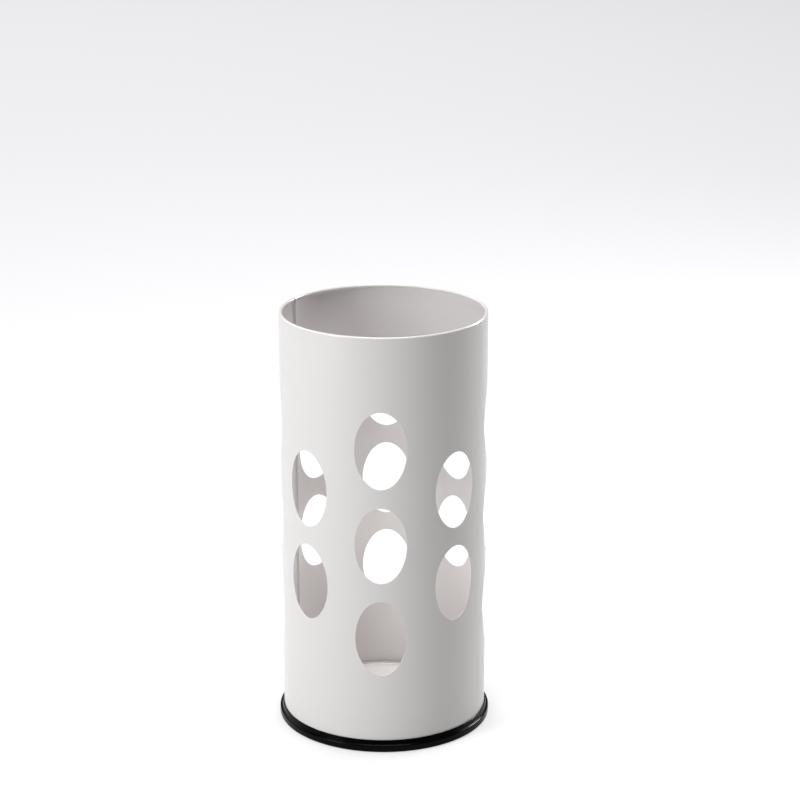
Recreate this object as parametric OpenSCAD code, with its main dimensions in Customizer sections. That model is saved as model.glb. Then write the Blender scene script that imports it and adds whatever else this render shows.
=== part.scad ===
// Round umbrella stand: a rolled and perforated sheet-steel tube with a curled
// rim and a folded seam, a pressed bottom plate, a loose drip tray and a
// moulded ring that covers the bottom edge.
//
// Millimetres. Z points up, the origin is at the centre of the footprint on the
// floor, and the column of cut-outs that faces the front is at -Y.

/* [Tube] */
// Outer diameter of the tube
tube_d = 240; // [200:1:280]
// Height of the whole stand above the floor
stand_h = 496; // [460:1:620]
// Thickness of the painted sheet
sheet_t = 1.2; // [0.8:0.1:2]
// Diameter of the curled bead round the rim
bead_d = 4; // [3:0.1:5]

/* [Cut-outs] */
// Width of an oval cut-out
oval_w = 58.5; // [40:0.5:62]
// Height of an oval cut-out
oval_h = 90.5; // [60:0.5:98]
// Distance between two ovals of one column
oval_pitch = 112.6; // [108:0.1:125]
// Height of the middle of the pattern above the floor
pattern_z = 252; // [240:1:270]

/* [Seam] */
// Where the folded seam is, counted from +X towards +Y
seam_angle = 152.5; // [152:0.5:163]
// Width of the fold
fold_w = 5; // [4:0.5:7]
// Width of the gap in the curled bead, beside the fold
bead_gap = 2; // [1:0.5:4]

/* [Base ring] */
// Outer diameter of the ring
ring_d = 250; // [246:1:292]
// Height of the ring above the floor
ring_h = 13.5; // [11:0.5:18]
// Height of the ring's thick lower band
band_h = 8.6; // [6:0.1:10]
// Thickness of the web under the tube's edge
web_t = 2; // [1.5:0.1:3]

/* [Bottom plate and drip tray] */
// Thickness of the bottom plate and of the tray
plate_t = 1; // [0.8:0.1:1.5]
// Height of the bottom plate's upper face above the floor
plate_z = 6; // [5:0.5:9]
// Diameter of the drip tray
tray_d = 230; // [180:1:230]
// Height of the tray's edge above its own floor
tray_lip = 2.5; // [2.5:0.5:12]

/* [Hidden] */

paint = [0.83, 0.82, 0.81];
tray_paint = [0.80, 0.79, 0.78];
moulding = [0.06, 0.06, 0.065];

tube_r = tube_d / 2;
wall_r = tube_r - sheet_t;
ring_r = ring_d / 2;
tray_r = tray_d / 2;

// Columns of ovals, alternately of three and of two, staggered by half a pitch
columns = 8;
front = -90;
rows_long = [-1, 0, 1];
rows_short = [-0.5, 0.5];

// The seam's fold, two sheets thick, lies flat against the wall on the inside,
// from above the plate into the bead
fold_angle = fold_w / wall_r * 180 / PI;
fold_t = 2 * sheet_t;
fold_z = plate_z + 3;
fold_top = stand_h - bead_d / 2;

// The gap lies just beyond the fold. It leaves the bead's outer skin and its
// underside whole.
gap_angle = seam_angle + fold_angle / 2 + bead_gap / 2 / tube_r * 180 / PI;
gap_skin = 1;
gap_floor = 0.8;

// The ring's channel takes the tube's edge and the plate's flange
flange_r = wall_r - plate_t;
channel_lip_t = 2;
channel_lip_h = 1.5;
web_land = 4;
web_r = flange_r - channel_lip_t - web_land;
band_edge = 1.7;
collar_edge = 0.6;
collar_foot = 2.6;

// The plate's corner and its stiffening bead, which is pressed downwards
plate_corner = 2.2;
stiff_r = 0.7 * tube_r;
stiff_w = 9;
stiff_drop = 1.5;

tray_corner = 2.5;

// How far a cutter reaches to each side of the wall, and how far joined shapes
// reach into each other
cutter_reach = 20;
overlap = 1;

// Sides of a circle, from the tube down to the smallest rounding
tube_facets = 192;
round_facets = 32;
$fn = 180;

// ---- shapes that the sub-parts are made from ----

// A ring of sheet about Z: outer radius, thickness, and where it starts and ends
module sleeve(r, t, z0, z1) {
    rotate_extrude($fn = tube_facets)
        translate([r - t, z0])
            square([t, z1 - z0]);
}

// An oval that is pushed through the wall at one angle and height
module oval_cutter(angle, z) {
    rotate([0, 0, angle])
        translate([tube_r - cutter_reach, 0, z])
            rotate([90, 0, 90])
                linear_extrude(height = 2 * cutter_reach)
                    scale([oval_w / oval_h, 1])
                        circle(d = oval_h);
}

// Every oval of the pattern
module oval_pattern() {
    for (i = [0 : columns - 1])
        for (row = (i % 2 == 0 ? rows_long : rows_short))
            oval_cutter(front + i * 360 / columns, pattern_z + row * oval_pitch);
}

// Section of a pressed dish: floor, rounded corner and upright edge. The corner
// stands at radius r, the floor's underside is at z = 0 and the edge ends at
// z = h. corner is the outer radius of the bend.
module dish_section(r, t, h, corner) {
    square([r - corner, t]);
    translate([r - t, corner])
        square([t, h - corner]);
    translate([r - corner, corner])
        intersection() {
            difference() {
                circle(r = corner);
                circle(r = corner - t);
            }
            translate([0, -corner])
                square(corner);
        }
}

// ---- sub-parts ----

// Rolled tube with its curled bead, the fold of the seam and the ovals
module shell() {
    color(paint)
        difference() {
            union() {
                sleeve(tube_r, sheet_t, web_t, stand_h - bead_d / 2);
                rotate_extrude($fn = tube_facets)
                    translate([tube_r - bead_d / 2, stand_h - bead_d / 2])
                        circle(d = bead_d, $fn = round_facets);
                rotate([0, 0, seam_angle - fold_angle / 2])
                    rotate_extrude(angle = fold_angle, $fn = tube_facets)
                        translate([wall_r - fold_t, fold_z])
                            square([fold_t + sheet_t / 2, fold_top - fold_z]);
            }
            oval_pattern();
            rotate([0, 0, gap_angle])
                translate([tube_r - bead_d - overlap, -bead_gap / 2, stand_h - bead_d + gap_floor])
                    cube([bead_d + overlap - gap_skin, bead_gap, bead_d]);
        }
}

// Pressed disc with a flange that is turned down inside the tube
module bottom_plate() {
    color(paint)
        rotate_extrude($fn = tube_facets)
            difference() {
                union() {
                    translate([0, plate_z])
                        mirror([0, 1])
                            dish_section(wall_r, plate_t, plate_z - web_t, plate_corner);
                    translate([stiff_r - stiff_w / 2, plate_z - plate_t - stiff_drop])
                        square([stiff_w, stiff_drop + plate_t]);
                }
                translate([stiff_r - stiff_w / 2 + plate_t, plate_z - stiff_drop])
                    square([stiff_w - 2 * plate_t, stiff_drop + overlap]);
            }
}

// Loose shallow dish that rests on the bottom plate
module drip_tray() {
    color(tray_paint)
        rotate_extrude($fn = tube_facets)
            translate([0, plate_z]) {
                dish_section(tray_r, plate_t, plate_t + tray_lip - plate_t / 2, tray_corner);
                translate([tray_r - plate_t / 2, plate_t + tray_lip - plate_t / 2])
                    circle(d = plate_t, $fn = round_facets);
            }
}

// Moulded ring: a thick lower band, a thin collar and a channel for the edge
module base_ring() {
    color(moulding)
        rotate_extrude($fn = tube_facets)
            difference() {
                union() {
                    translate([web_r, 0])
                        square([ring_r - band_edge - web_r, web_t]);
                    translate([tube_r - overlap, 0])
                        square([ring_r - band_edge - tube_r + overlap, band_h]);
                    translate([ring_r - 2 * band_edge, band_edge])
                        square([2 * band_edge, band_h - 2 * band_edge]);
                    for (z = [band_edge, band_h - band_edge])
                        translate([ring_r - band_edge, z])
                            circle(r = band_edge, $fn = round_facets);
                    polygon([
                        [tube_r - overlap, web_t],
                        [tube_r + collar_foot, band_h - overlap],
                        [tube_r + collar_foot, band_h],
                        [tube_r + 2 * collar_edge, ring_h - collar_edge],
                        [tube_r - overlap, ring_h - collar_edge]
                    ]);
                    translate([tube_r + collar_edge, ring_h - collar_edge])
                        circle(r = collar_edge, $fn = round_facets);
                    translate([flange_r - channel_lip_t, 0])
                        square([channel_lip_t, web_t + channel_lip_h]);
                }
                translate([flange_r, web_t])
                    square([tube_r - flange_r, ring_h]);
            }
}

shell();
bottom_plate();
drip_tray();
base_ring();
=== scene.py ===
"""Looks for a round umbrella stand in rolled and perforated sheet steel.

Every piece is a surface worked out as whole arrays: a grid of points with the
normal that the true surface has there. Grids that share an edge are welded into
one closed mesh, and each face corner keeps the normal of its own grid, so that
round walls stay smooth and real edges stay crisp.

Metres, Z up, the origin on the floor under the middle of the stand, and the
column of ovals that faces the front at -Y.
"""
import math

import bpy
import numpy as np
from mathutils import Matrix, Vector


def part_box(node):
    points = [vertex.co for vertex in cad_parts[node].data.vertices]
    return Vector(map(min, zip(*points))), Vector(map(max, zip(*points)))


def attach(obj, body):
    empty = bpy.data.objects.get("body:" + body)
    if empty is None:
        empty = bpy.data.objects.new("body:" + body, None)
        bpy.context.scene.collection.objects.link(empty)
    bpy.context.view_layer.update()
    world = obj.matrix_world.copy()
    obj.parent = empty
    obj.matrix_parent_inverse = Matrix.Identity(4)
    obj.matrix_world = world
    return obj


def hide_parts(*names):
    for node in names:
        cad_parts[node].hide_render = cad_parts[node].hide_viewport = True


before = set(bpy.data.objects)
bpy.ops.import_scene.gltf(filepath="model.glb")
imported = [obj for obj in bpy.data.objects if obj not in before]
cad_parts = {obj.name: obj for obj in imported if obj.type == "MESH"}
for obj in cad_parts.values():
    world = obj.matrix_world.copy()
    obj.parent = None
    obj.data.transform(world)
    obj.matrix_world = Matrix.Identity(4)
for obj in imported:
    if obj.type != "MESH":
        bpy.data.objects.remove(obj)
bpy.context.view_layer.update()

MM = 0.001


# ---- sizes: from the frame, then what the frame's boxes don't say ----

def half_width(node):
    """Half of the larger side of a round node's box, which is its outer radius."""
    low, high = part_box(node)
    return max(high[0] - low[0], high[1] - low[1]) / 2


shell_low, shell_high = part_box("shell")
plate_low, plate_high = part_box("bottom_plate")
tray_low, tray_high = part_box("drip_tray")
_, ring_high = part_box("base_ring")

TUBE_R = half_width("shell")
RIM_Z = shell_high[2]
EDGE_Z = shell_low[2]
RING_R = half_width("base_ring")
RING_H = ring_high[2]
TRAY_R = half_width("drip_tray")
PLATE_R = half_width("bottom_plate")

# The sheet, and the curled bead of its rim
SHEET = 1.2 * MM
WALL_R = TUBE_R - SHEET
BEAD_R = 2 * MM
COIL_R = TUBE_R - BEAD_R
COIL_Z = RIM_Z - BEAD_R

# The ovals, in columns of three and of two by turns, staggered by half a pitch
OVAL_HALF_W = 29.25 * MM
OVAL_HALF_H = 45.25 * MM
PITCH = 112.6 * MM
PATTERN_Z = 252 * MM
COLUMNS = 8
FRONT = math.radians(-90)
SWEEP = 2 * math.pi / COLUMNS
CUT_ROUND = 0.42 * MM

# The folded seam, in arc lengths from its middle, which grow towards the left
# side. The fold is two sheets thick, and the bead's gap is at its left edge.
SEAM = math.radians(152.5)
FOLD_HALF = 2.5 * MM
FOLD = 2 * SHEET
FOLD_ROUND = 1.3 * MM
GAP = 2 * MM
JOGGLE = 1.7 * MM
STRIP_RIGHT, STRIP_LEFT = -4.5 * MM, 8 * MM
GROOVE = 0.75 * MM
GAP_DEPTH = 3.0 * MM
STEP = 0.2 * MM

# Pressed plate and tray, and the ring's channel round the plate's flange
PLATE = 1 * MM
CHANNEL_LIP = 2 * MM
CHANNEL_LIP_H = 1.5 * MM
WEB_LAND = 4 * MM
BAND_H = 8.6 * MM

# Points closer than WELD become one, and slopes are taken over NUDGE
WELD = 1.37e-6
NUDGE = 1e-6

# How finely the surfaces are sampled
CELL_ACROSS = 20
CELL_UP = 24
CELL_RINGS = 7
CELL_CROWDING = 1.4
CURL_POINTS = 25
TURN = 240
STAGE_TURN = 96


# ---- meshes from grids ----

def smooth_step(x, start, stop):
    """0 up to start, 1 from stop, and 3t^2 - 2t^3 between them."""
    t = np.clip((x - start) / (stop - start), 0, 1)
    return t * t * (3 - 2 * t)


def unit(v):
    """Vectors of an array's last axis at length one."""
    return v / np.maximum(np.linalg.norm(v, axis=-1, keepdims=True), 1e-12)


def radial(angle):
    """Unit vectors that point away from the Z axis at these angles."""
    return np.stack([np.cos(angle), np.sin(angle), np.zeros_like(angle)], -1)


def around(angle, radius, z):
    """Points at an angle round the Z axis, a distance from it and a height."""
    return np.stack([radius * np.cos(angle), radius * np.sin(angle), z + 0 * radius * angle], -1)


def grid_faces(rows, columns, wrap_rows, wrap_columns):
    """Quads of a grid as rows of four point numbers, joined up where it wraps."""
    i, j = np.meshgrid(
        np.arange(rows if wrap_rows else rows - 1),
        np.arange(columns if wrap_columns else columns - 1),
        indexing="ij",
    )
    i2 = (i + 1) % rows
    j2 = (j + 1) % columns
    corners = [i * columns + j, i2 * columns + j, i2 * columns + j2, i * columns + j2]
    return np.stack(corners, -1).reshape(-1, 4)


def solid(name, patches, material, body, node=None):
    """A closed mesh from patches of (points, normals, wrap rows, wrap columns).

    Points within about WELD of each other become one. A quad with two equal corners
    becomes a triangle, one with fewer than three is dropped, and each face is
    turned so that it looks the way its corners' normals do.
    """
    points, normals, quads = [], [], []
    first = 0
    for place, normal, wrap_rows, wrap_columns in patches:
        rows, columns = place.shape[:2]
        quads.append(grid_faces(rows, columns, wrap_rows, wrap_columns) + first)
        points.append(place.reshape(-1, 3))
        normals.append(unit(normal).reshape(-1, 3))
        first += rows * columns
    points = np.concatenate(points)
    normals = np.concatenate(normals)
    quads = np.concatenate(quads)

    spots = np.round(points / WELD).astype(np.int64)
    _, keep, same = np.unique(spots, axis=0, return_index=True, return_inverse=True)
    places = points[keep]
    welded = same.reshape(-1)[quads]
    distinct = welded != np.roll(welded, -1, axis=1)

    faces, corner_normals = [], []
    for sides in (4, 3):
        chosen = distinct.sum(axis=1) == sides
        corners = welded[chosen][distinct[chosen]].reshape(-1, sides)
        looks = normals[quads[chosen][distinct[chosen]]].reshape(-1, sides, 3)
        flat = np.cross(
            places[corners[:, 1]] - places[corners[:, 0]],
            places[corners[:, 2]] - places[corners[:, 0]],
        ) + np.cross(
            places[corners[:, 2]] - places[corners[:, 0]],
            places[corners[:, -1]] - places[corners[:, 0]],
        )
        inward = np.einsum("ij,ij->i", flat, looks.mean(axis=1)) < 0
        corners[inward] = corners[inward, ::-1]
        looks[inward] = looks[inward, ::-1]
        faces += corners.tolist()
        corner_normals.append(looks.reshape(-1, 3))

    mesh = bpy.data.meshes.new(name)
    mesh.from_pydata(places.tolist(), [], faces)
    mesh.polygons.foreach_set("use_smooth", np.ones(len(faces), bool))
    mesh.normals_split_custom_set(np.concatenate(corner_normals).tolist())
    mesh.materials.append(material)
    piece = bpy.data.objects.new(name, mesh)
    bpy.context.scene.collection.objects.link(piece)
    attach(piece, body)
    if node:
        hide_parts(node)
    return piece


def rounded(corners, radii, steps=6):
    """Points and outward normals of an outline with rounded corners.

    The outline runs counter-clockwise. A corner of radius r is replaced by the
    arc that touches both of its sides, whose centre lies r / sin(half angle)
    from the corner on its bisector. A corner of radius 0 is given twice, once
    with the normal of each side.
    """
    corners = np.asarray(corners, float)
    points, normals = [], []
    for i, radius in enumerate(radii):
        here = corners[i]
        arriving = unit(here - corners[i - 1])
        leaving = unit(corners[(i + 1) % len(corners)] - here)
        turn = arriving[0] * leaving[1] - arriving[1] * leaving[0]
        start = math.atan2(-arriving[0], arriving[1])
        bend = math.atan2(turn, arriving @ leaving)
        angle = start + bend * np.linspace(0, 1, steps + 1 if radius else 2)
        normal = np.stack([np.cos(angle), np.sin(angle)], -1)
        side = math.copysign(1, turn)
        middle = here + (leaving - arriving) / max(abs(turn), 1e-9) * radius
        points.append(middle + side * radius * normal)
        normals.append(normal)
    return np.concatenate(points), np.concatenate(normals)


def lathe(outline, normals, steps=TURN):
    """The outline's (radius, height) points carried round the Z axis."""
    angle = np.linspace(0, 2 * np.pi, steps, endpoint=False)[:, None]
    out = radial(angle[:, 0])[:, None, :]
    up = np.array([0, 0, 1.0])
    place = around(angle, outline[None, :, 0], outline[None, :, 1])
    look = normals[None, :, :1] * out + normals[None, :, 1:] * up
    return place, look, True, True


# ---- the shell ----

def slope(dent, s):
    """Slope of a depth along the arc, from its values NUDGE to either side."""
    return (dent(s + NUDGE) - dent(s - NUDGE)) / (2 * NUDGE)


def fold(s):
    """How far the inner face lies inwards of the wall at arc length s.

    The fold rises in a soft joggle on its right and drops over the round back
    of the folded sheet on its left.
    """
    rise = smooth_step(s, -FOLD_HALF - JOGGLE, -FOLD_HALF)
    drop = smooth_step(s, FOLD_HALF - FOLD_ROUND, FOLD_HALF)
    return FOLD * (rise - drop)


def groove(s):
    """How deep the line is that the outer face shows where the sheet bends into the fold."""
    dip = smooth_step(s, -FOLD_HALF - 0.8 * JOGGLE, -FOLD_HALF - 2 * STEP)
    end = smooth_step(s, -FOLD_HALF - STEP, -FOLD_HALF + STEP)
    return GROOVE * (dip - end)


def bead_gap(s):
    """1 in the gap of the curled bead, just left of the fold, and 0 outside it."""
    begin = smooth_step(s, FOLD_HALF - STEP, FOLD_HALF + STEP)
    end = smooth_step(s, FOLD_HALF + GAP - STEP, FOLD_HALF + GAP + STEP)
    return begin - end


def seam_samples():
    """Arc lengths at which the seam's strip is sampled, close together at its steps."""
    ends = (-FOLD_HALF, FOLD_HALF, FOLD_HALF + GAP)
    steps = [end + np.linspace(-STEP, STEP, 7) for end in ends]
    return np.unique(np.concatenate([
        np.linspace(STRIP_RIGHT, -FOLD_HALF - JOGGLE, 2),
        np.linspace(-FOLD_HALF - JOGGLE, -FOLD_HALF - STEP, 17),
        np.linspace(-FOLD_HALF + STEP, FOLD_HALF - FOLD_ROUND, 5),
        np.linspace(FOLD_HALF - FOLD_ROUND, FOLD_HALF - STEP, 17),
        np.linspace(FOLD_HALF + GAP + STEP, STRIP_LEFT, 5),
        *steps,
    ]).round(7))


def column_span(index):
    """Angle of a column's middle, and its cell's two sides from there, as angles."""
    middle = FRONT + index * SWEEP
    left, right = -SWEEP / 2, SWEEP / 2
    from_seam = (middle - SEAM + math.pi) % (2 * math.pi) - math.pi
    if 0 < from_seam < SWEEP:
        left = STRIP_LEFT / TUBE_R - from_seam
    if -SWEEP < from_seam < 0:
        right = STRIP_RIGHT / TUBE_R - from_seam
    return middle, left, right


def oval_edge(t, offset, radius):
    """Angle from the column's middle and height of an oval's edge.

    The oval is cut straight through the wall: its point at parameter t lies
    (a + offset) cos t to the side of the column's middle plane, whatever the
    radius, and (b + offset) sin t up.
    """
    side = (OVAL_HALF_W + offset) * np.cos(t)
    return np.arcsin(side / radius), (OVAL_HALF_H + offset) * np.sin(t)


def cell(middle, left, right, z_low, z_high, z_oval):
    """One oval's rectangle of wall: outer face, inner face and rounded cut edge.

    The points of the rectangle's edge are joined to the oval's in rings, which
    lie closer together near the oval. Each edge point meets the oval's point
    that has the same direction once the rectangle is squeezed to a square.
    """
    across = np.linspace(left, right, CELL_ACROSS + 1)
    up = np.linspace(z_low, z_high, CELL_UP + 1)
    side = np.concatenate([
        across[:-1], np.full(CELL_UP, right), across[:0:-1], np.full(CELL_UP, left)])
    height = np.concatenate([
        np.full(CELL_ACROSS, z_low), up[:-1], np.full(CELL_ACROSS, z_high), up[:0:-1]])
    squeezed = np.where(side > 0, side / right, -side / left)
    t = np.arctan2((height - z_oval) / (z_high - z_low) * 2, squeezed)

    blend = (np.linspace(0, 1, CELL_RINGS + 1) ** CELL_CROWDING)[:, None]
    patches = []
    for radius, facing in ((TUBE_R, 1), (WALL_R, -1)):
        edge_side, edge_height = oval_edge(t, CUT_ROUND, radius)
        angle = middle + (1 - blend) * edge_side + blend * side
        z = (1 - blend) * (z_oval + edge_height) + blend * height
        patches.append((around(angle, radius, z), facing * radial(angle), False, True))

    # Section of the cut edge: a quarter round, the straight cut and a quarter round
    turn = np.linspace(0, np.pi / 2, 4)
    lean = np.concatenate([turn, turn + np.pi / 2])
    offset = CUT_ROUND * (1 - np.sin(lean))
    depth = np.concatenate([
        TUBE_R - CUT_ROUND * (1 - np.cos(turn)),
        WALL_R + CUT_ROUND * (1 - np.sin(turn)),
    ])
    edge_side, edge_height = oval_edge(t[None, :], offset[:, None], depth[:, None])
    angle = middle + edge_side
    place = around(angle, depth[:, None], z_oval + edge_height)
    away = unit(
        (np.cos(t) / OVAL_HALF_W)[:, None] * radial(np.array(middle + np.pi / 2))
        + (np.sin(t) / OVAL_HALF_H)[:, None] * np.array([0, 0, 1.0])
    )
    look = np.cos(lean)[:, None, None] * radial(angle) - np.sin(lean)[:, None, None] * away[None]
    patches.append((place, look, False, True))
    return patches


def plain(angles, heights):
    """Outer and inner face of the wall over a range of angles and heights."""
    angle, z = np.meshgrid(angles, heights)
    return [
        (around(angle, TUBE_R, z), radial(angle), False, False),
        (around(angle, WALL_R, z), -radial(angle), False, False),
    ]


def seam_strip(heights):
    """The strip of wall with the seam: outer face with its line, inner face with its fold."""
    s = seam_samples()
    angle, z = np.meshgrid(SEAM + s / TUBE_R, heights)
    tangent = radial(angle + np.pi / 2)
    patches = []
    for radius, dent, facing in ((TUBE_R, groove, 1), (WALL_R, fold, -1)):
        look = facing * (radial(angle) + slope(dent, s)[None, :, None] * tangent)
        patches.append((around(angle, radius - dent(s)[None, :] + 0 * z, z), look, False, False))
    return patches


def rim_bead(angles, s):
    """The curled bead, from the outer face over the top to the inner face.

    Its section is a circle that touches the outer face, taken from where the
    outer face meets it round to where the inner face does. In the gap it shrinks
    to a half round over the sheet's cut end.
    """
    outer = (TUBE_R - groove(s))[:, None]
    inner = (WALL_R - fold(s))[:, None]
    start = np.arccos(np.minimum((outer - COIL_R) / BEAD_R, 1))
    stop = 2 * np.pi - np.arccos((inner - COIL_R) / BEAD_R)
    share = np.linspace(0, 1, CURL_POINTS)[None, :]
    turn = start + (stop - start) * share
    curl = np.stack([COIL_R + BEAD_R * np.cos(turn), COIL_Z + BEAD_R * np.sin(turn)], -1)
    half = np.pi * share
    thick = (outer - inner) / 2
    cut = np.stack([
        (outer + inner) / 2 + thick * np.cos(half),
        RIM_Z - GAP_DEPTH + thick * np.sin(half),
    ], -1)
    gap = bead_gap(s)[:, None, None]
    section = (1 - gap) * curl + gap * cut
    place = around(angles[:, None], section[..., 0], section[..., 1])

    # Near the gap the normals come from the surface itself, elsewhere from the circle
    along = np.roll(place, -1, axis=0) - np.roll(place, 1, axis=0)
    over = np.gradient(place, axis=1)
    bent = unit(np.cross(along, over))
    ring = (
        np.cos(turn)[..., None] * radial(angles)[:, None, :]
        + np.sin(turn)[..., None] * np.array([0, 0, 1.0])
    )
    near = (np.abs(s - FOLD_HALF - GAP / 2) < GAP)[:, None, None]
    bent = bent * np.sign(np.einsum("ijk,ijk->ij", bent, ring)[..., None] + 1e-9)
    return [(place, np.where(near, bent, ring), True, False)], section


def bottom_edge(angles, s):
    """The sheet's flat bottom end, from the outer face to the inner face."""
    radius = np.stack([TUBE_R - groove(s), WALL_R - fold(s)], -1)
    place = around(angles[:, None], radius, EDGE_Z)
    return [(place, np.broadcast_to([0, 0, -1.0], place.shape), True, False)]


def shell(material):
    """The rolled sheet: cells with ovals, plain wall round them, seam, bead and end."""
    low, high = PATTERN_Z - 1.5 * PITCH, PATTERN_Z + 1.5 * PITCH
    step = PITCH / CELL_UP
    in_pattern = low + step * np.arange(3 * CELL_UP + 1)
    below = np.linspace(EDGE_Z, low, 5)
    above = np.linspace(high, COIL_Z - 3 * MM, 4)
    patches = []
    ring_angles, ring_s = [], []
    for index in range(COLUMNS):
        middle, left, right = column_span(index)
        across = middle + np.linspace(left, right, CELL_ACROSS + 1)
        long_column = index % 2 == 0
        for row in (-1, 0, 1) if long_column else (-0.5, 0.5):
            z = PATTERN_Z + row * PITCH
            patches += cell(middle, left, right, z - PITCH / 2, z + PITCH / 2, z)
        if not long_column:
            half = CELL_UP // 2
            patches += plain(across, in_pattern[:half + 1])
            patches += plain(across, in_pattern[-half - 1:])
        patches += plain(across, below) + plain(across, above)
        ring_angles.append(across)
        ring_s.append(np.full(CELL_ACROSS + 1, -1.0))
    s = seam_samples()
    ring_angles.append(SEAM + s / TUBE_R)
    ring_s.append(s)
    patches += seam_strip(np.unique(np.concatenate([below, in_pattern, above]).round(9)))

    # One ring of angles for the bead and the bottom end, in order round the tube
    angles = np.concatenate(ring_angles)
    arc = np.concatenate(ring_s)
    turned = (angles - FRONT) % (2 * np.pi)
    _, order = np.unique(turned.round(7), return_index=True)
    angles, arc = angles[order], arc[order]
    patch, section = rim_bead(angles, arc)
    patches += patch
    patches += rim_collars(angles, arc, above[-1], section)
    patches += bottom_edge(angles, arc)
    return solid("shell_rolled", patches, material, "stand", "shell")


def rim_collars(angles, s, z_low, section):
    """The last of both faces, from a level line up to the bead's uneven ends."""
    patches = []
    for column, radius, dent, facing in ((0, TUBE_R, groove, 1), (-1, WALL_R, fold, -1)):
        share = np.linspace(0, 1, 4)[None, :]
        r = (radius - dent(s))[:, None] * (1 - share) + section[:, column, 0][:, None] * share
        z = z_low * (1 - share) + section[:, column, 1][:, None] * share
        place = around(angles[:, None], r, z)
        look = facing * (radial(angles) + slope(dent, s)[:, None] * radial(angles + np.pi / 2))
        patches.append((place, np.broadcast_to(look[:, None, :], place.shape), True, False))
    return patches


# ---- the other pieces ----

def turned(name, outline, steps, material, body, node):
    """A solid of revolution from corners of (radius, height, rounding in millimetres)."""
    corners = [(r, z) for r, z, _ in outline]
    radii = [f * MM for _, _, f in outline]
    return solid(name, [lathe(*rounded(corners, radii, steps))], material, body, node)


def base_ring(material):
    """The moulded ring: thick band, thin collar, and a channel for the tube's edge."""
    flange_r = WALL_R - PLATE
    lip_r = flange_r - CHANNEL_LIP
    web_r = lip_r - WEB_LAND
    web = EDGE_Z
    lip = EDGE_Z + CHANNEL_LIP_H
    outline = [
        (web_r, 0, 0.5), (RING_R, 0, 1.6), (RING_R, BAND_H, 1.9),
        (TUBE_R + 2.7 * MM, BAND_H + 0.1 * MM, 0.45), (TUBE_R + 1.25 * MM, RING_H, 0.55),
        (TUBE_R, RING_H, 0.25), (TUBE_R, web, 0), (flange_r, web, 0),
        (flange_r, lip, 0.4), (lip_r, lip, 0.4), (lip_r, web, 0.4), (web_r, web, 0.5),
    ]
    return turned("base_ring_moulded", outline, 8, material, "stand", "base_ring")


def drip_tray(material):
    """The loose tray: a flat pressed disc with a low upright lip."""
    inner_r = TRAY_R - PLATE
    low, high = tray_low[2], tray_high[2]
    floor = low + PLATE
    outline = [
        (0, low, 0), (TRAY_R, low, 2.5), (TRAY_R, high, 0.48),
        (inner_r, high, 0.48), (inner_r, floor, 1.5), (0, floor, 0),
    ]
    return turned("drip_tray_pressed", outline, 8, material, "tray", "drip_tray")


def bottom_plate(material):
    """The pressed disc under the tray: flange turned down, one bead pressed down."""
    t = PLATE
    top = plate_high[2]
    low = plate_low[2]
    bead_in, bead_out, drop = 79.5 * MM, 88.5 * MM, 1.5 * MM
    outline = [
        (0, top, 0), (0, top - t, 0),
        (bead_in, top - t, 0.5), (bead_in + 0.4 * MM, top - t - drop, 0.6),
        (bead_out - 0.4 * MM, top - t - drop, 0.6), (bead_out, top - t, 0.5),
        (PLATE_R - t, top - t, 1.2), (PLATE_R - t, low, 0.3), (PLATE_R, low, 0.3),
        (PLATE_R, top, 2.2), (bead_out - t, top, 0.5), (bead_out - 1.4 * MM, top - drop, 0.5),
        (bead_in + 1.4 * MM, top - drop, 0.5), (bead_in + t, top, 0.5),
    ]
    return turned("bottom_plate_pressed", outline, 6, material, "stand", "bottom_plate")


# ---- materials ----

# Powder coat: scales per metre, then its relief and how much tone and gloss vary
PEEL_SCALE, GRAIN_SCALE, DRIFT_SCALE = 620, 3400, 7
PEEL_HEIGHT = 0.012 * MM
SPECKLE = 0.02
TONE_DRIFT = 0.02
GLOSS_DRIFT = 0.05

# Moulding: scales per metre, and its relief
SKIN_SCALE, RUB_SCALE = 1500, 60
SKIN_HEIGHT = 0.006 * MM

def make_group(name, inputs, outputs):
    """An empty shader group with named float or colour or vector sockets."""
    group = bpy.data.node_groups.new(name, "ShaderNodeTree")
    kinds = {"f": "NodeSocketFloat", "c": "NodeSocketColor", "v": "NodeSocketVector"}
    for label, kind in inputs:
        group.interface.new_socket(label, in_out="INPUT", socket_type=kinds[kind])
    for label, kind in outputs:
        group.interface.new_socket(label, in_out="OUTPUT", socket_type=kinds[kind])
    return group, group.nodes.new("NodeGroupInput"), group.nodes.new("NodeGroupOutput")


def noise(tree, vector, scale, detail, rough=0.5):
    """A noise texture of that scale per metre, read at a vector."""
    node = tree.nodes.new("ShaderNodeTexNoise")
    tree.links.new(vector, node.inputs["Vector"])
    node.inputs["Scale"].default_value = scale
    node.inputs["Detail"].default_value = detail
    node.inputs["Roughness"].default_value = rough
    return node.outputs["Fac"]


def remap(tree, value, low, high, to_low, to_high):
    """A value's range low..high carried to to_low..to_high, held at both ends."""
    node = tree.nodes.new("ShaderNodeMapRange")
    tree.links.new(value, node.inputs["Value"])
    node.inputs["From Min"].default_value = low
    node.inputs["From Max"].default_value = high
    node.inputs["To Min"].default_value = to_low
    node.inputs["To Max"].default_value = to_high
    return node.outputs["Result"]


def math_node(tree, operation, *values):
    """A Math node of numbers and sockets."""
    node = tree.nodes.new("ShaderNodeMath")
    node.operation = operation
    for socket, value in zip(node.inputs, values):
        if hasattr(value, "is_output"):
            tree.links.new(value, socket)
        else:
            socket.default_value = value
    return node.outputs[0]


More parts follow.
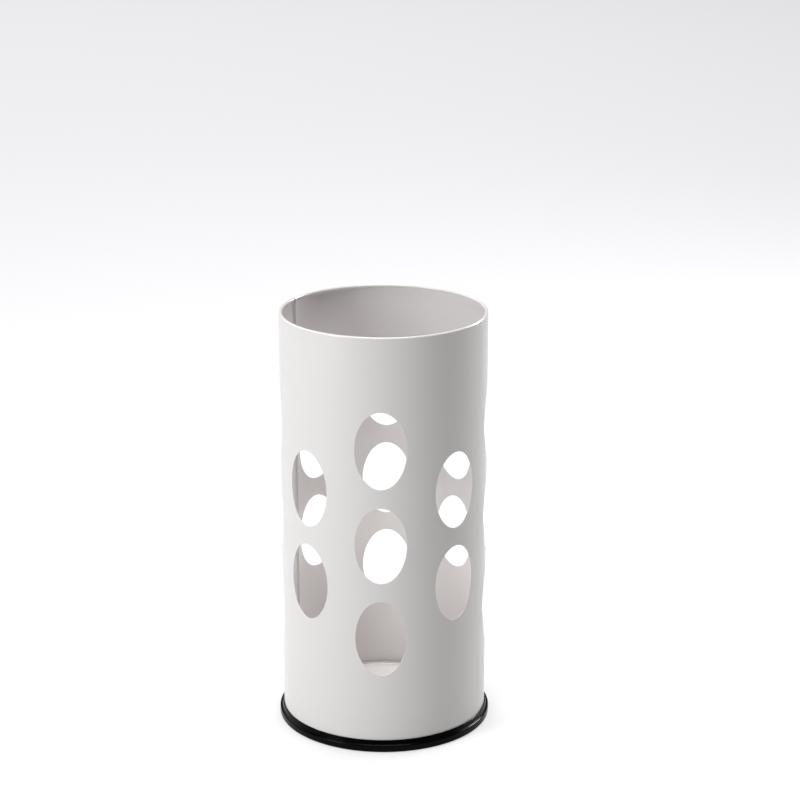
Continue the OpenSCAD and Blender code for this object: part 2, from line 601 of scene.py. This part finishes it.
def coat_group():
    """Powder coat: orange peel, fine speckle and a slow drift of tone and gloss."""
    group, inside, outside = make_group(
        "powder_coat",
        [("Place", "v"), ("Paint", "c"), ("Speckle", "f"), ("Drift", "f"), ("Gloss", "f")],
        [("Paint", "c"), ("Roughness", "f"), ("Height", "f")],
    )
    place = inside.outputs["Place"]
    peel = noise(group, place, PEEL_SCALE, 2.0, 0.45)
    grain = noise(group, place, GRAIN_SCALE, 1.0)
    drift = noise(group, place, DRIFT_SCALE, 2.0)
    from_grain = math_node(group, "SUBTRACT", grain, 0.5)
    from_drift = math_node(group, "SUBTRACT", drift, 0.5)
    speckled = math_node(group, "MULTIPLY", from_grain, inside.outputs["Speckle"])
    drifted = math_node(group, "MULTIPLY", from_drift, inside.outputs["Drift"])
    tone = math_node(group, "ADD", speckled, drifted)
    tint = group.nodes.new("ShaderNodeHueSaturation")
    group.links.new(math_node(group, "ADD", tone, 1.0), tint.inputs["Value"])
    group.links.new(inside.outputs["Paint"], tint.inputs["Color"])
    group.links.new(tint.outputs["Color"], outside.inputs["Paint"])
    uneven = math_node(group, "MULTIPLY", from_drift, GLOSS_DRIFT)
    gloss = math_node(group, "ADD", inside.outputs["Gloss"], uneven)
    group.links.new(gloss, outside.inputs["Roughness"])
    height = math_node(group, "ADD", peel, math_node(group, "MULTIPLY", grain, 0.08))
    group.links.new(height, outside.inputs["Height"])
    return group


def coated(name, paint, group, gloss):
    """A powder-coated steel finish with its own paint and gloss."""
    material = bpy.data.materials.new(name)
    material.use_nodes = True
    tree = material.node_tree
    shader = tree.nodes["Principled BSDF"]
    place = tree.nodes.new("ShaderNodeTexCoord").outputs["Object"]
    coat = tree.nodes.new("ShaderNodeGroup")
    coat.node_tree = group
    tree.links.new(place, coat.inputs["Place"])
    coat.inputs["Paint"].default_value = (*paint, 1)
    coat.inputs["Speckle"].default_value = SPECKLE
    coat.inputs["Drift"].default_value = TONE_DRIFT
    coat.inputs["Gloss"].default_value = gloss
    tree.links.new(coat.outputs["Paint"], shader.inputs["Base Color"])
    tree.links.new(coat.outputs["Roughness"], shader.inputs["Roughness"])
    bump = tree.nodes.new("ShaderNodeBump")
    bump.inputs["Distance"].default_value = PEEL_HEIGHT
    tree.links.new(coat.outputs["Height"], bump.inputs["Height"])
    tree.links.new(bump.outputs["Normal"], shader.inputs["Normal"])
    shader.inputs["Specular IOR Level"].default_value = 0.38
    return material


def moulded(name):
    """Glossy black moulding with a faint skin texture and rubbed patches."""
    material = bpy.data.materials.new(name)
    material.use_nodes = True
    tree = material.node_tree
    shader = tree.nodes["Principled BSDF"]
    place = tree.nodes.new("ShaderNodeTexCoord").outputs["Object"]
    skin = noise(tree, place, SKIN_SCALE, 2.0)
    rub = noise(tree, place, RUB_SCALE, 3.0, 0.6)
    tree.links.new(remap(tree, rub, 0.35, 0.7, 0.16, 0.27), shader.inputs["Roughness"])
    shader.inputs["Base Color"].default_value = (0.001, 0.001, 0.0011, 1)
    shader.inputs["Specular IOR Level"].default_value = 0.06
    bump = tree.nodes.new("ShaderNodeBump")
    bump.inputs["Distance"].default_value = SKIN_HEIGHT
    tree.links.new(skin, bump.inputs["Height"])
    tree.links.new(bump.outputs["Normal"], shader.inputs["Normal"])
    return material


# ---- stage, lights and camera ----

def stage_floor():
    """A wide pale disc under the stand."""
    radius, bottom, top = 14, -20 * MM, -0.3 * MM
    corners = [(0, bottom), (radius, bottom), (radius, top), (0, top)]
    place = lathe(*rounded(corners, [0] * 4), STAGE_TURN)[0]
    material = bpy.data.materials.new("stage_paper")
    material.use_nodes = True
    shader = material.node_tree.nodes["Principled BSDF"]
    shader.inputs["Base Color"].default_value = (0.4, 0.4, 0.4, 1)
    shader.inputs["Emission Color"].default_value = (0.985, 0.98, 1, 1)
    shader.inputs["Emission Strength"].default_value = 0.5
    shader.inputs["Roughness"].default_value = 0.9
    shader.inputs["Specular IOR Level"].default_value = 0.1
    mesh = bpy.data.meshes.new("stage_floor")
    faces = grid_faces(place.shape[0], place.shape[1], True, True)
    mesh.from_pydata(place.reshape(-1, 3).tolist(), [], faces.tolist())
    mesh.materials.append(material)
    floor = bpy.data.objects.new("stage_floor", mesh)
    bpy.context.scene.collection.objects.link(floor)


def softbox(name, place, aim, size, power, colour=(1, 1, 1)):
    """A rectangular area light at a place, facing a point."""
    light = bpy.data.lights.new(name, "AREA")
    light.shape = "RECTANGLE"
    light.size, light.size_y = size
    light.energy = power
    light.color = colour
    lamp = bpy.data.objects.new(name, light)
    lamp.location = place
    direction = np.subtract(aim, place)
    yaw = math.atan2(direction[0], -direction[1])
    pitch = math.atan2(math.hypot(direction[0], direction[1]), -direction[2])
    lamp.rotation_euler = (pitch, 0, yaw + math.pi)
    bpy.context.scene.collection.objects.link(lamp)
    return lamp


def inner_fill(name, place, power):
    """A soft round lamp inside the tube, which only the light on the walls shows."""
    light = bpy.data.lights.new(name, "POINT")
    light.shadow_soft_size = 0.05
    light.energy = power
    lamp = bpy.data.objects.new(name, light)
    lamp.location = place
    lamp.visible_camera = False
    lamp.visible_glossy = False
    bpy.context.scene.collection.objects.link(lamp)


def bearing(round_right, up, distance):
    """A place at an angle round the stand from the front and an angle above its middle."""
    out = distance * math.cos(math.radians(up))
    turn = math.radians(round_right)
    return (out * math.sin(turn), -out * math.cos(turn), 0.25 + distance * math.sin(math.radians(up)))


def studio():
    """A softbox overhead, a key from the front left and an edge light from the back right.

    A strip beside the edge light shows only in gloss, on rounded edges. Two lamps inside
    the tube lift its inner walls, and the last light falls on the floor far behind it.
    """
    world = bpy.data.worlds.new("studio")
    bpy.context.scene.world = world
    world.use_nodes = True
    background = world.node_tree.nodes["Background"]
    background.inputs["Color"].default_value = (0.90, 0.89, 0.93, 1)
    fill, backdrop = 0.04, 0.55
    seen = world.node_tree.nodes.new("ShaderNodeLightPath").outputs["Is Camera Ray"]
    strength = remap(world.node_tree, seen, 0, 1, fill, backdrop)
    world.node_tree.links.new(strength, background.inputs["Strength"])
    middle = (0, 0, 0.25)
    softbox("key", bearing(-54, 20, 2.4), middle, (0.8, 1.4), 43, (0.965, 1, 1))
    softbox("edge", bearing(129, 24, 2.4), middle, (0.4, 0.7), 20)
    glint = softbox("glint", bearing(127, 26, 2.4), middle, (0.3, 0.6), 90)
    glint.visible_diffuse = False
    inner_fill("low_fill", (0, 0, 0.17), 0.18)
    inner_fill("high_fill", (-0.045, 0.02, 0.41), 0.045)
    softbox("overhead", (0, 0, 4.25), middle, (2, 2), 185)
    softbox("far_floor", (-2.5, 6, 5), (-2.5, 6, 0), (10, 5), 330, (0.97, 0.965, 1))


def camera():
    """A long lens in front of the stand, a little to its right, looking down."""
    distance, height = 2.585, 1.188
    round_right, turn_right, down = math.radians(1.69), math.radians(0.42), math.radians(17.2)
    lens = bpy.data.cameras.new("camera")
    lens.sensor_width = 36
    lens.lens = 105.2
    lens.clip_end = 100
    view = bpy.data.objects.new("camera", lens)
    view.location = (distance * math.sin(round_right), -distance * math.cos(round_right), height)
    view.rotation_euler = (math.pi / 2 - down, 0, round_right - turn_right)
    bpy.context.scene.collection.objects.link(view)
    bpy.context.scene.camera = view


# ---- build ----

camera()
coat = coat_group()
shell_paint = coated("shell_paint", (0.612, 0.585, 0.578), coat, 0.24)
plate_paint = coated("plate_paint", (0.59, 0.565, 0.555), coat, 0.36)
tray_paint = coated("tray_paint", (0.60, 0.575, 0.565), coat, 0.32)
ring_moulding = moulded("ring_moulding")

shell(shell_paint)
bottom_plate(plate_paint)
drip_tray(tray_paint)
base_ring(ring_moulding)

stage_floor()
studio()
bpy.context.scene.view_settings.view_transform = "Standard"
